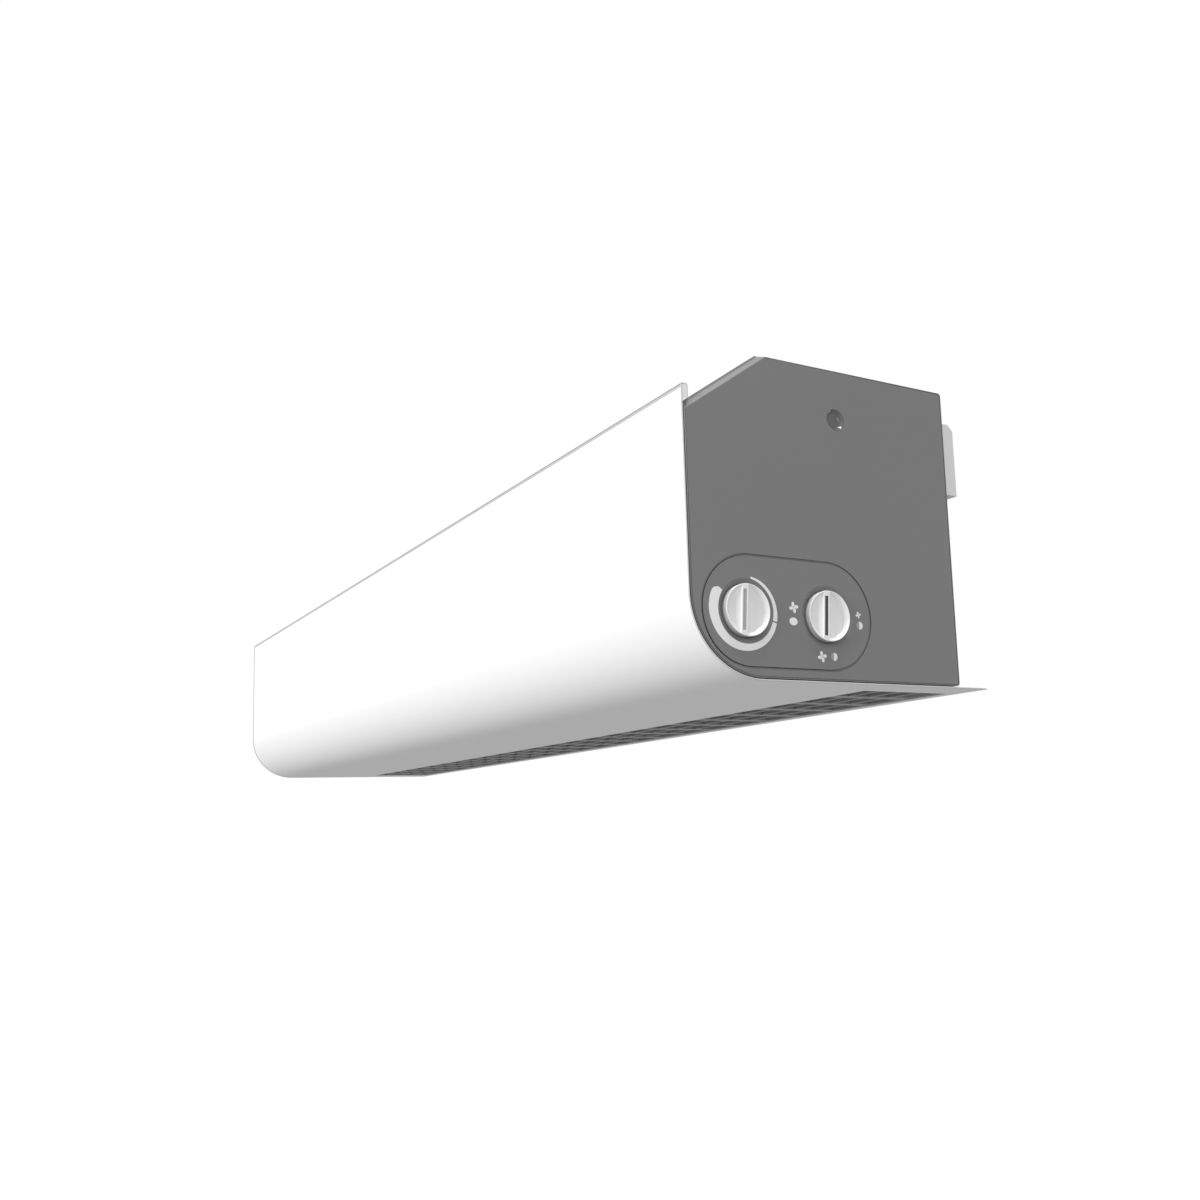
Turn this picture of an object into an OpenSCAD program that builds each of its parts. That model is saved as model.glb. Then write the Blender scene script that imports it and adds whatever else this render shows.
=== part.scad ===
// Wall-hung air curtain: sheet-steel body with moulded end plates, a cross-flow fan and a heater.
// X runs along the unit towards the control end, the wall is the plane y = 0 and the front faces -Y.
// Heights are counted from the underside of the cover, and the hung() module then brings the
// centre of the wall bolts to the origin.

/* [Body] */
// Length over the two end plates
unit_l = 1010; // [900:10:1500]
// Height of the end plates above the underside of the cover
body_h = 190; // [171:1:210]
// Depth from the front of the cover to the back of the end plates
body_d = 197; // [178:1:217]
// Gap between the back of the end plates and the wall
wall_gap = 24; // [22:1:40]

/* [Cover] */
// Thickness of the cover sheet
cover_t = 1; // [0.8:0.1:1.5]
// Outside radius of the lower front corner
corner_r = 47.5; // [35:0.5:55]
// Distance of the cover's top edge below the top of the end plates
cover_drop = 25; // [20:1:27]
// Depth of the folded top edge
hem_d = 4.7; // [4:0.1:7]
// Drop of the lip behind the folded top edge
hem_drop = 8; // [4:1:9]
// Gap between the cover and what it wraps
seam = 0.3; // [0.2:0.1:0.6]
// Gap between the rear flange of the cover and the wall
flange_gap = 0.5; // [0.5:0.5:3]

/* [Outlet] */
// Distance of the rear edge of the outlet from the wall
outlet_back = 7; // [5:1:12]
// Front to back width of the outlet
outlet_w = 71; // [60:1:75]
// Distance of the outlet from the outer face of each end plate
outlet_in = 27; // [24:1:40]
// Height of the outlet grille
lattice_h = 9.5; // [6:0.5:10]
// Distance between the cross bars of the grille
bar_pitch = 39; // [30:1:50]
// Width of a cross bar
bar_w = 9; // [5:0.5:12]
// Number of lengthwise bars
long_bars = 3; // [1:1:5]
// Width of a lengthwise bar
long_bar_w = 3; // [2:0.5:5]
// Lap of the grille flange on the cover
lattice_lap = 4; // [3:0.5:6]

/* [End plates] */
// Thickness of the face of an end plate
plate_t = 3; // [2:0.5:4]
// Depth of the rim of an end plate, face included
rim_w = 13; // [10:1:16]
// Wall thickness of the rim
rim_t = 2.5; // [2:0.25:3]
// Gap between a rim and the sheet inside it
rim_fit = 0.2; // [0.1:0.1:0.4]
// Distance of the front chamfer's lower end below the top of the end plates
cheek_drop = 39.5; // [35:0.5:40]
// Depth of the level top edge, in front of the back edge
cheek_d = 139; // [125:1:150]
// Distance of the screw well in front of the back edge
well_y = 88; // [84:1:92]
// Distance of the screw well below the top of the end plates
well_drop = 30.6; // [28:0.2:32]
// Diameter of the screw well at its mouth
well_d = 16; // [14:1:18]
// Depth of the screw well
well_depth = 5; // [4:0.5:6]

/* [Controls] */
// Length of the control panel
panel_l = 116.3; // [112:0.1:118]
// Height of the control panel
panel_h = 64; // [60:1:65]
// Distance of the panel's middle behind the front of the cover
panel_y = 69.7; // [68:0.1:71]
// Height of the panel's middle
panel_z = 39.2; // [38.5:0.1:41]
// Gap round the control panel
panel_gap = 0.8; // [0.3:0.1:1]
// Distance of the thermostat knob behind the front of the cover
thermostat_y = 37.5; // [36.5:0.1:39]
// Distance of the selector knob behind the front of the cover
selector_y = 95; // [94:0.1:97]
// Height of both knobs
knob_z = 38.9; // [38:0.1:41]
// Diameter of a knob
knob_d = 30; // [26:1:32]
// Height of a knob
knob_h = 11; // [9:0.5:12]
// Width of the rim round a knob's finger hollows
knob_rim = 0.8; // [0.6:0.1:1.6]
// Width of the grip bar between the two hollows
grip_w = 3.2; // [3:0.2:5]
// Depth of the hollows
grip_h = 2; // [1.5:0.5:4]
// Radius at the foot of the grip bar
grip_foot = 2; // [1:0.5:2.5]
// Radius at the upper and lower end of a hollow
hollow_r = 4; // [2:0.5:4]
// Diameter of the sloping well round a knob
dish_d = 37; // [35:0.5:38]
// Depth of the well's slope
dish_slope = 2; // [1.5:0.5:4]
// Depth of the cup that the knob turns in
dish_depth = 9; // [7:0.5:11]
// Running gap under a knob
knob_gap = 0.5; // [0.4:0.1:1]
// Running gap round a knob
knob_side = 0.3; // [0.2:0.1:1]
// Diameter of the knob spindles
spindle_d = 6; // [5:0.5:7]

/* [Fan] */
// Distance of the fan's axis in front of the end plates' back edge
fan_back = 76; // [76:1:84]
// Distance of the fan's axis below the top of the end plates
fan_drop = 78; // [77:1:80]
// Diameter of the impeller
impeller_d = 86; // [80:1:88]
// Width of the ring of blades
blade_w = 10; // [8:1:12]
// Thickness of a blade
blade_t = 1; // [0.8:0.1:1.2]
// Angle by which the outer edge of a blade leads its inner edge
blade_lean = 14; // [8:1:18]
// Number of blades round the impeller
blade_count = 34; // [24:1:36]
// Number of blade rings along the impeller
rings = 10; // [6:1:12]
// Thickness of the discs between the blade rings
disc_t = 2; // [1.5:0.5:3]
// Gap between the impeller and the side plates
impeller_gap = 8; // [6:1:12]
// Diameter of the fan shaft
shaft_d = 8; // [6:1:10]
// Radial running clearance of the shaft and the spindles
run_gap = 0.05; // [0.03:0.01:0.09]

/* [Air path] */
// Distance of each side plate's outer face inside the end plate
bay_l = 78.8; // [76:0.2:90]
// Thickness of the side plates
side_t = 1.2; // [1:0.1:2]
// Thickness of the scroll panel and of the vortex tongue
duct_t = 1; // [0.8:0.1:1.5]
// Gap between the impeller and the nose of the scroll
scroll_gap = 4; // [3:0.5:6]
// Gap between the impeller and the vortex tongue
tongue_gap = 5; // [3:0.5:6]
// Angle of the scroll's nose above the level
nose_a = 80; // [70:1:90]
// Gap between the scroll and the back of the shell
scroll_clear = 0.5; // [0.5:0.1:2]
// Gap over the outlet grille that lets the cover slide
slide_gap = 1; // [0.5:0.1:2]

/* [Shell] */
// Thickness of the shell sheet
shell_t = 1.2; // [1:0.1:1.5]
// Distance of the intake riser in front of the end plates' back edge
riser_y = 80; // [78:1:86]
// Distance of the ledge that carries the intake grille below the top of the end plates
ledge_drop = 21.8; // [19:0.2:22]
// Depth of the ledge
ledge_w = 12; // [8:1:16]
// Height of the shell's lower edge
shell_z = 14; // [14:1:18]
// Thickness of the intake grille
intake_t = 3; // [2:0.5:4]
// Distance between the slots of the intake grille
slat_pitch = 9; // [8:0.5:12]
// Width of a slot in the intake grille
intake_gap = 6; // [4:0.5:7]
// Width of a rib across the slots
intake_rib = 8; // [5:1:12]
// Distance of the front rail behind the front of the cover
rail_set = 8; // [7:0.5:10]
// Depth of the front rail
rail_d = 12; // [10:1:16]
// Height of the front rail
rail_h = 20; // [16:1:26]
// Distance of the top of the front rail below the top edge of the cover
rail_drop = 17; // [16.5:0.5:19]

/* [Heater] */
// Diameter of a heater tube
tube_d = 8; // [6:0.5:9]
// Height of the lower row of heater tubes, as a share of the room under the impeller
tube_low = 0.29; // [0.27:0.01:0.32]
// Height of the upper row, as a share of the same room
tube_high = 0.67; // [0.62:0.01:0.69]
// Distance between the heater hairpins
hairpin_gap = 20; // [18:1:20]
// Distance of the middle hairpin from the wall
hairpin_y = 56; // [56:1:58]
// Number of plates that support the heater tubes
support_count = 3; // [1:1:6]

/* [Motor] */
// Diameter of the motor
motor_d = 80; // [70:1:82]
// Length of the motor's housing
motor_l = 42; // [36:1:46]
// Gap between the side plate and the motor's lugs
motor_gap = 7; // [5:0.5:9]

/* [Wall brackets] */
// Distance of a bracket's outer side inside the end plate
bracket_in = 15; // [14:1:25]
// Width of a bracket
bracket_w = 50; // [44:1:52]
// Height of a bracket
bracket_h = 48; // [44:1:50]
// Distance of a bracket's lower edge below the top of the end plates
bracket_drop = 61; // [58:1:64]
// Thickness of the bracket sheet
bracket_t = 2; // [1.5:0.5:3]
// Distance between the two wall bolts of a bracket
bolt_gap = 26; // [20:1:28]
// Diameter of the wall bolt holes
bolt_d = 6; // [5:0.5:8]
// Diameter of the bore in the cable gland
cable_d = 12; // [8:1:13]

/* [Hidden] */
$fn = 64;
eps = 0.01;
// Radial gap of parts that are pressed or glued together
press_gap = 0.05;

// Heights counted down from the top of the end plates
cover_h = body_h - cover_drop;
rail_z = cover_h - rail_drop;
cheek_z = body_h - cheek_drop;
well_z = body_h - well_drop;
ledge_z = body_h - ledge_drop;
fan_z = body_h - fan_drop;
bracket_z = body_h - bracket_drop;
bolt_z = bracket_z + bracket_h / 2;

// Body planes
end_x = unit_l / 2;
back_y = -wall_gap;
front_y = -wall_gap - body_d;
side_x = end_x - bay_l;
bay_face = side_x + side_t;
fan_y = back_y - fan_back;
fan_axis = [fan_y, fan_z];

// Shell faces
shell_y = back_y - rim_t - rim_fit;
shell_in = shell_y - shell_t;
shell_top = body_h - rim_t - rim_fit;
roof_z = shell_top - shell_t;
shell_x = end_x - plate_t - 2;
riser_face = back_y - riser_y;
ledge_end = riser_face - ledge_w;
rail_front = front_y + rail_set;
rail_back = rail_front + rail_d;

// Air path
impeller_r = impeller_d / 2;
throat_z = cover_t + lattice_h + slide_gap;
outlet_front = -outlet_back - outlet_w;
nose_r = impeller_r + scroll_gap;
scroll_r = shell_in - scroll_clear - duct_t - fan_y;
tongue_r = impeller_r + tongue_gap;
tongue_a = [215, 255];
tongue_fold = 14;
tail_top = fan_axis + [scroll_r, 0];
tail_end = [-outlet_back, throat_z];
tongue_end = fan_axis + tongue_r * [cos(tongue_a[1]), sin(tongue_a[1])];
throat_front = [outlet_front, throat_z];

// Sheet and plate outlines, as points [y, z]
function unit(v) = v / norm(v);
function left_of(v) = [-v[1], v[0]];
function polar(centre, r, a) = centre + r * [cos(a), sin(a)];
function arc(centre, r, a0, a1, n) = [for (i = [0:n]) polar(centre, r, a0 + (a1 - a0) * i / n)];

// The far face of a bent sheet, one thickness to the left of point i of its path
function mitre(p, i, t) =
    let(
        j = max(i, 1),
        k = min(i, len(p) - 2),
        before = left_of(unit(p[j] - p[j - 1])),
        after = left_of(unit(p[k + 1] - p[k])),
        n = unit(before + after)
    )
    p[i] + n * t / (n * before);

function sheet(p, t) = concat(p, [for (i = [len(p) - 1:-1:0]) mitre(p, i, t)]);

// A bend of radius r at corner b of the path a, b, c
function bend(a, b, c, r, n) =
    let(
        u = unit(a - b),
        v = unit(c - b),
        half = acos(u * v) / 2,
        centre = b + unit(u + v) * r / sin(half),
        s = b + u * r / tan(half) - centre,
        e = b + v * r / tan(half) - centre
    )
    [for (k = [0:n]) centre + r * unit(s * (n - k) + e * k)];

function bent(p, r, n = 4) =
    [p[0], for (i = [1:len(p) - 2]) each bend(p[i - 1], p[i], p[i + 1], r, n), p[len(p) - 1]];

// The y of the straight line from a to b at height z
function line_y(a, b, z) = a[0] + (b[0] - a[0]) * (z - a[1]) / (b[1] - a[1]);
function tail_y(z) = line_y(tail_top, tail_end, z);
function throat_y(z) = line_y(tongue_end, throat_front, z);

// Placing
module hung() translate([0, 0, -bolt_z]) children();

// Draws a [y, z] outline and runs it along the unit from x0 to x1
module along(x0, x1) translate([x0, 0, 0]) rotate([90, 0, 90]) linear_extrude(x1 - x0) children();

// A round bar from x0 to x1, whose axis is at [y, z]
module rod(d, x0, x1, at) translate([x0, at[0], at[1]]) rotate([0, 90, 0]) cylinder(d = d, h = x1 - x0);

// A cone from x0 to x1, whose axis is at [y, z]
module taper(d0, d1, x0, x1, at)
    translate([x0, at[0], at[1]]) rotate([0, 90, 0]) cylinder(d1 = d0, d2 = d1, h = x1 - x0);

// A round bar along Y from y0 to y1
module post(d, x, y0, y1, z) translate([x, y1, z]) rotate([90, 0, 0]) cylinder(d = d, h = y1 - y0);

module block(x0, x1, y0, y1, z0, z1) translate([x0, y0, z0]) cube([x1 - x0, y1 - y0, z1 - z0]);

module both_ends() {
    children();
    mirror([1, 0, 0]) children();
}

// The corner of the cover's outline, inset by a thickness
module cover_quadrant(inset) {
    reach = body_d + wall_gap + body_h;
    difference() {
        translate([front_y + inset, inset]) square(reach);
        difference() {
            translate([front_y, 0]) square(corner_r);
            translate([front_y + corner_r, corner_r]) circle(r = corner_r - inset);
        }
    }
}

// Front cover
cover_end = -flange_gap;
stud_z = rail_z - rail_h / 2;
stud_x = [for (share = [-0.9, -0.3, 0.3, 0.9]) share * side_x];
stud_d = 5.2;
stud_head = 14;
stud_tip = rail_back - 4;
clip_d = 11.6;
clip_flange = 16;

module cover_section() {
    difference() {
        intersection() {
            cover_quadrant(0);
            translate([front_y, 0]) square([cover_end - front_y, cover_h]);
        }
        cover_quadrant(cover_t);
    }
    translate([front_y, cover_h - cover_t]) square([hem_d, cover_t]);
    translate([front_y + hem_d - cover_t, cover_h - hem_drop]) square([cover_t, hem_drop]);
}

// The flap that closes an end of the folded top edge
module hem_end() {
    low = cover_h - hem_drop;
    block(end_x - cover_t, end_x, front_y + eps, front_y + hem_d - eps, low + eps, cover_h - eps);
}

module front_cover() {
    color("white") hung() difference() {
        along(-end_x, end_x) cover_section();
        block(outlet_in - end_x, end_x - outlet_in, outlet_front, -outlet_back, -1, cover_t + 1);
    }
    color("white") hung() both_ends() hem_end();
}

// Outlet grille: a lattice with a flange that lies on the cover round the aperture
lattice_l = unit_l - 2 * outlet_in;
lattice_t = 1.5;
bar_count = floor(lattice_l / bar_pitch);
bar_step = lattice_l / bar_count;

module lattice() {
    frame_w = 3;
    row = (outlet_w - 2 * frame_w - long_bars * long_bar_w) / (long_bars + 1);
    difference() {
        square([lattice_l, outlet_w]);
        for (i = [0:bar_count - 1], j = [0:long_bars])
            translate([i * bar_step + bar_w / 2, frame_w + j * (row + long_bar_w)])
                square([bar_step - bar_w, row]);
    }
}

module outlet_grille() {
    color("gray") hung() translate([-lattice_l / 2, outlet_front, cover_t]) {
        linear_extrude(lattice_h) lattice();
        linear_extrude(lattice_t) difference() {
            translate([-lattice_lap, -lattice_lap])
                square([lattice_l + 2 * lattice_lap, outlet_w + 2 * lattice_lap]);
            translate([1, 1]) square([lattice_l - 2, outlet_w - 2]);
        }
    }
}

module cover_studs() {
    face = front_y + cover_t;
    color("silver") hung() for (x = stud_x) {
        post(stud_head, x, face, face + 2, stud_z);
        post(stud_d, x, face, stud_tip, stud_z);
    }
}

module stud_clips() {
    color("ivory") hung() for (x = stud_x) difference() {
        union() {
            post(clip_flange, x, rail_front - 1.2, rail_front, stud_z);
            post(clip_d, x, rail_front - 1.2, stud_tip + 1, stud_z);
        }
        post(stud_d + 2 * seam, x, rail_front - 2, stud_tip + 2, stud_z);
    }
}

// End plates
plate_front = front_y + cover_t + seam;
plate_low = cover_t + seam;
well = [back_y - well_y, well_z];
well_x = end_x - well_depth;
boss_x = well_x - 2;
boss_d = well_d + 4;

module plate_outline(inset) {
    chamfer = unit([back_y - cheek_d - plate_front, body_h - cheek_z]);
    shift = inset * left_of(chamfer) * -1;
    corner = [plate_front, cheek_z] + shift;
    front = plate_front + inset;
    top = body_h - inset;
    difference() {
        polygon([
            [front, plate_low + inset],
            [back_y - inset, plate_low + inset],
            [back_y - inset, top],
            [corner[0] + chamfer[0] * (top - corner[1]) / chamfer[1], top],
            [front, corner[1] + chamfer[1] * (front - corner[0]) / chamfer[0]]
        ]);
        difference() {
            translate([front, plate_low + inset]) square(corner_r - cover_t - seam - inset);
            translate([front_y + corner_r, corner_r]) circle(r = corner_r - cover_t - seam - inset);
        }
    }
}

// The stadium shape of the control panel, grown by a margin
module panel_outline(margin) {
    d = panel_h + 2 * margin;
    straight = panel_l - panel_h;
    translate([front_y + panel_y, panel_z]) {
        for (s = [-1, 1]) translate([s * straight / 2, 0]) circle(d = d);
        square([straight, d], center = true);
    }
}

// The end plate of the right-hand end, with or without the hole for the control panel
module end_plate(panel_hole) {
    difference() {
        union() {
            along(end_x - plate_t, end_x) plate_outline(0);
            along(end_x - rim_w, end_x) difference() {
                plate_outline(0);
                plate_outline(rim_t);
            }
            rod(boss_d, boss_x, end_x - eps, well);
        }
        taper(well_d - 4, well_d, well_x, end_x + eps, well);
        rod(5.5, boss_x - 1, end_x, well);
        if (panel_hole)
            along(end_x - plate_t - 1, end_x + 1) panel_outline(panel_gap);
    }
}

module end_plate_right() color("dimgray") hung() end_plate(true);
module end_plate_left() color("dimgray") hung() mirror([1, 0, 0]) end_plate(false);

// Control panel and what turns in it
thermostat = [front_y + thermostat_y, knob_z];
selector = [front_y + selector_y, knob_z];
dish_x = end_x - dish_depth;
cup_x = dish_x - 2;
cup_d = knob_d + 2 * knob_side;
neck_d = 10;
body_l = 28;
body_w = 32;

module control_panel() {
    lap = 1.5;
    color("dimgray") hung() difference() {
        union() {
            along(end_x - plate_t, end_x) panel_outline(0);
            along(end_x - plate_t - lap, end_x - plate_t) panel_outline(panel_gap + lap);
            for (at = [thermostat, selector]) rod(cup_d + 3, cup_x, end_x - plate_t, at);
        }
        for (at = [thermostat, selector]) {
            taper(cup_d, dish_d, end_x - dish_slope, end_x + eps, at);
            rod(cup_d, dish_x, end_x, at);
            rod(neck_d + 0.4, cup_x - 1, end_x, at);
        }
    }
}

// What is left in the angle of two walls outside a rounding of radius r
module angle_fill(r) {
    difference() {
        square(r);
        translate([r, r]) circle(r = r);
    }
}

// A finger hollow seen along the grip bar, drawn in x and y
module hollow_width() {
    translate([0, grip_w / 2]) difference() {
        square([grip_h + 1, knob_d]);
        angle_fill(grip_foot);
    }
}

// A finger hollow seen across the grip bar, drawn in x and z
module hollow_length() {
    half_l = knob_d / 2 - 2 * knob_rim;
    for (s = [0, 1]) mirror([0, s]) difference() {
        translate([0, -half_l]) square([grip_h + 1, half_l + eps]);
        translate([0, -half_l]) angle_fill(hollow_r);
    }
}

// The two finger hollows of a knob
module hollows(top, at) {
    intersection() {
        translate([top - grip_h, at[0], at[1] - knob_d / 2]) linear_extrude(knob_d) {
            hollow_width();
            mirror([0, 1]) hollow_width();
        }
        translate([top - grip_h, at[0] + knob_d / 2, at[1]]) rotate([90, 0, 0]) linear_extrude(knob_d)
            hollow_length();
        rod(knob_d - 2 * knob_rim, top - grip_h - 1, top + 1, at);
    }
}

// A round knob: the hollows leave a grip bar, whose crest has a pointer groove
knob_top = dish_x + knob_gap + knob_h;
knob_edge = 0.6;
bore_end = knob_top - grip_h - 1;
groove_w = 2.6;
groove_d = 0.3;
groove_l = 0.76 * knob_d;

module knob(at) {
    low = dish_x + knob_gap;
    difference() {
        union() {
            rod(knob_d, low, knob_top - knob_edge, at);
            taper(knob_d, knob_d - 2 * knob_edge, knob_top - knob_edge, knob_top, at);
        }
        hollows(knob_top, at);
        rod(spindle_d + 2 * run_gap, low - 1, bore_end, at);
        translate([knob_top - groove_d, at[0] - groove_w / 2, at[1] - groove_l / 2])
            cube([2, groove_w, groove_l]);
    }
}

module spindle(at) rod(spindle_d, cup_x - body_l + 2.3, bore_end - 0.1, at);

// A push-on tab that stands in X
module tab() translate([0, -3.15, -0.4]) cube([8, 6.3, 0.8]);

// The housing of a thermostat or a switch, with its push-on tabs
module control_body(at) {
    back = cup_x - body_l;
    difference() {
        union() {
            translate([back, at[0] - body_w / 2, at[1] - body_w / 2]) cube([body_l, body_w, body_w]);
            rod(neck_d, cup_x - 1, dish_x, at);
        }
        rod(spindle_d + 2 * run_gap, back + 2, dish_x + 1, at);
    }
    for (y = [-10, 0, 10], z = [-8, 8])
        translate([back + eps, at[0] + y, at[1] + z]) mirror([1, 0, 0]) rotate([90, 0, 0]) tab();
}

module thermostat_knob() color("gainsboro") hung() knob(thermostat);
module thermostat_spindle() color("silver") hung() spindle(thermostat);
module thermostat_body() color("ivory") hung() control_body(thermostat);
module selector_knob() color("gainsboro") hung() knob(selector);
module selector_spindle() color("silver") hung() spindle(selector);
module selector_switch() color("ivory") hung() control_body(selector);

// Rear shell: back, top and intake riser in one bent sheet
cut_z = fan_z + 2;
fold_r = 2.2;
slot_h = 18.6;
slot_w = bracket_t + 0.6;
neck_z = bolt_z + 5;
gland_in = 45;
gland_back = 36;
gland_d = 20;
gland_nut = 27;
gland_at = [end_x - gland_in, back_y - gland_back];
hook_x = [end_x - bracket_in - bracket_w + bracket_t / 2, end_x - bracket_in - bracket_t / 2];
lock_x = end_x - bracket_in - bracket_w / 2;
lock_z = bracket_z - 6;

module rear_shell() {
    path = [[shell_y, shell_z], [shell_y, shell_top], [riser_face, shell_top], [riser_face, ledge_z],
        [ledge_end, ledge_z]];
    color("white") hung() difference() {
        along(-shell_x, shell_x) polygon(sheet(bent(path, fold_r), shell_t));
        block(-bay_face, bay_face, shell_in - 1, shell_y + 1, 0, cut_z);
        both_ends() {
            for (x = hook_x)
                translate([x - slot_w / 2, shell_in - 1, neck_z - slot_h])
                    cube([slot_w, shell_t + 2, slot_h]);
            post(5.4, lock_x, shell_in - 1, shell_y + 1, lock_z);
            rod(boss_d + 2 * seam, boss_x - seam, end_x, well);
        }
        translate([gland_at[0], gland_at[1], roof_z - 1]) cylinder(d = gland_d + 0.4, h = shell_t + 2);
    }
}

// Intake grille: a moulded strip with long slots between ribs, from the front rail up to the ledge
module intake_grille() {
    low = [rail_back, rail_z];
    high = [ledge_end - 1, ledge_z];
    section = [[rail_front, rail_z], low, high, [riser_face - fold_r - seam, ledge_z]];
    run = norm(high - low);
    slope = atan2(high[1] - low[1], high[0] - low[0]);
    half_l = end_x - rim_w - 2;
    columns = round(2 * half_l / 98);
    cell = 2 * half_l / columns;
    rows = floor((run - 6) / slat_pitch);
    first = (run - rows * slat_pitch + slat_pitch - intake_gap) / 2;
    color("white") hung() difference() {
        along(-half_l, half_l) polygon(sheet(section, intake_t));
        translate([-half_l, low[0], low[1]]) rotate([slope, 0, 0])
            for (i = [0:columns - 1], j = [0:rows - 1])
                translate([i * cell + intake_rib / 2, first + j * slat_pitch, -1])
                    cube([cell - intake_rib, intake_gap, intake_t + 2]);
    }
}

// Front rail: a lipped channel that carries the grille and the clips
module front_rail() {
    lip = 5;
    low = rail_z - rail_h;
    path = [[rail_back, low + lip], [rail_back, low], [rail_front, low], [rail_front, rail_z],
        [rail_back, rail_z], [rail_back, rail_z - lip]];
    color("lightgray") hung() difference() {
        along(-shell_x, shell_x) polygon(sheet(bent(path, 1.6), -shell_t));
        for (x = stud_x) post(clip_d + 0.2, x, rail_front - 1, rail_front + shell_t + 1, stud_z);
    }
}

// Fan side plates
holder_d = 34;
foot_t = 1.2;
side_nip = 2;
side_cut = [21, 24];

module side_outline() {
    tail_out = duct_t * left_of(unit(tail_end - tail_top));
    low = tail_end + tail_out;
    high = tail_top + tail_out;
    riser_in = riser_face + shell_t;
    polygon([
        [rail_back + side_cut[0], throat_z],
        [low[0], throat_z],
        [line_y(low, high, fan_z - 2), fan_z - 2],
        [shell_in, fan_z],
        [shell_in, roof_z - side_nip],
        [shell_in - side_nip, roof_z],
        [riser_in + side_nip, roof_z],
        [riser_in, roof_z - side_nip],
        [riser_in, ledge_z - shell_t],
        [ledge_end - 1, ledge_z - shell_t],
        [rail_back, rail_z - 0.5],
        [rail_back, throat_z + side_cut[1]]
    ]);
}

module side_plate() {
    color("lightgray") along(side_x, bay_face) difference() {
        side_outline();
        translate(fan_axis) circle(d = holder_d + 2 * press_gap);
        children();
    }
    color("lightgray")
        block(bay_face - eps, end_x - rim_w - 1, outlet_front - 8, shell_in, throat_z,
            throat_z + foot_t);
}

module side_plate_right() hung() side_plate() for (at = tube_places) translate(at) circle(d = bush_d);

module side_plate_left()
    hung() mirror([1, 0, 0]) side_plate()
        for (a = lug_angles) translate(polar(fan_axis, lug_r, a)) circle(d = 5);

// Scroll panel: flange under the roof, spiral round the impeller, straight tail to the outlet
module scroll_panel() {
    nose = polar(fan_axis, nose_r, nose_a);
    steps = 16;
    spiral = [for (i = [1:steps])
        polar(fan_axis, nose_r + (scroll_r - nose_r) * i / steps, nose_a * (1 - i / steps))];
    lead = bent([[nose[0] + 14, roof_z], [nose[0], roof_z], nose, spiral[0]], 1.6);
    path = concat(lead, [for (i = [1:steps - 1]) spiral[i]], [tail_end]);
    color("silver") hung() along(-side_x, side_x) polygon(sheet(path, duct_t));
}

// Vortex tongue: fold, arc close to the impeller and front wall of the outlet
module vortex_tongue() {
    start = polar(fan_axis, tongue_r + tongue_fold, tongue_a[0]);
    curve = arc(fan_axis, tongue_r, tongue_a[0], tongue_a[1], 8);
    path = concat(bent([start, curve[0], curve[1]], 1.4), [for (i = [2:6]) curve[i]],
        bent([curve[7], curve[8], throat_front, throat_front - [20, 0]], 1.4));
    color("silver") hung() along(-side_x, side_x) polygon(sheet(path, -duct_t));
}

// Impeller
rotor_x = side_x - impeller_gap;
ring_l = (2 * rotor_x - disc_t) / rings;
coupling_d = 30;
coupling_l = 14;
disc_r = impeller_r + 0.5;

function blade_path() =
    [for (s = [0, 0.5, 1]) polar([0, 0], impeller_r - blade_w * (1 - s), -blade_lean * s * s)];

module blades() {
    outline = sheet(blade_path(), blade_t);
    for (i = [0:blade_count - 1]) rotate(i * 360 / blade_count) polygon(outline);
}

module impeller() {
    color("silver") hung() {
        for (i = [0:rings - 1])
            along(-rotor_x + i * ring_l + disc_t, -rotor_x + (i + 1) * ring_l)
                translate(fan_axis) rotate(i * 360 / blade_count / 4) blades();
        for (i = [1:rings - 1])
            along(-rotor_x + i * ring_l, -rotor_x + i * ring_l + disc_t) translate(fan_axis) difference() {
                circle(r = disc_r);
                circle(r = impeller_r - blade_w - 2);
            }
        along(rotor_x - disc_t, rotor_x) translate(fan_axis) difference() {
            circle(r = disc_r);
            circle(d = shaft_d + 2 * press_gap);
        }
        along(-rotor_x, -rotor_x + disc_t) translate(fan_axis) difference() {
            circle(r = disc_r);
            circle(d = coupling_d + 2 * press_gap);
        }
    }
}

bush_l = 14;
bush_outer = 14;
bush_out = bay_face + 8;

module fan_shaft() {
    color("silver") hung() {
        rod(shaft_d, rotor_x - 20, bush_out + 3, fan_axis);
        rod(20, rotor_x - disc_t - 3, rotor_x - disc_t, fan_axis);
    }
}

module bearing_bush() {
    color("peru") hung() difference() {
        rod(bush_outer, bush_out - bush_l, bush_out, fan_axis);
        rod(shaft_d + 2 * run_gap, bush_out - bush_l - 1, bush_out + 1, fan_axis);
    }
}

module bearing_holder() {
    color("darkslategray") hung() difference() {
        union() {
            rod(holder_d, side_x, bay_face, fan_axis);
            rod(holder_d + 8, bay_face, bay_face + 3, fan_axis);
            rod(24, bush_out - bush_l + 2, bush_out - 2, fan_axis);
        }
        rod(bush_outer + 2 * press_gap, bush_out - bush_l - 1, bush_out + 1, fan_axis);
    }
}

// Motor, its rubber coupling and its mounts, in the left bay
lug_angles = [30, 150, 270];
lug_t = 4;
lug_r = motor_d / 2 + 7.5;
lug_x = bay_face + motor_gap;
motor_end = lug_x + motor_l;

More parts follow.
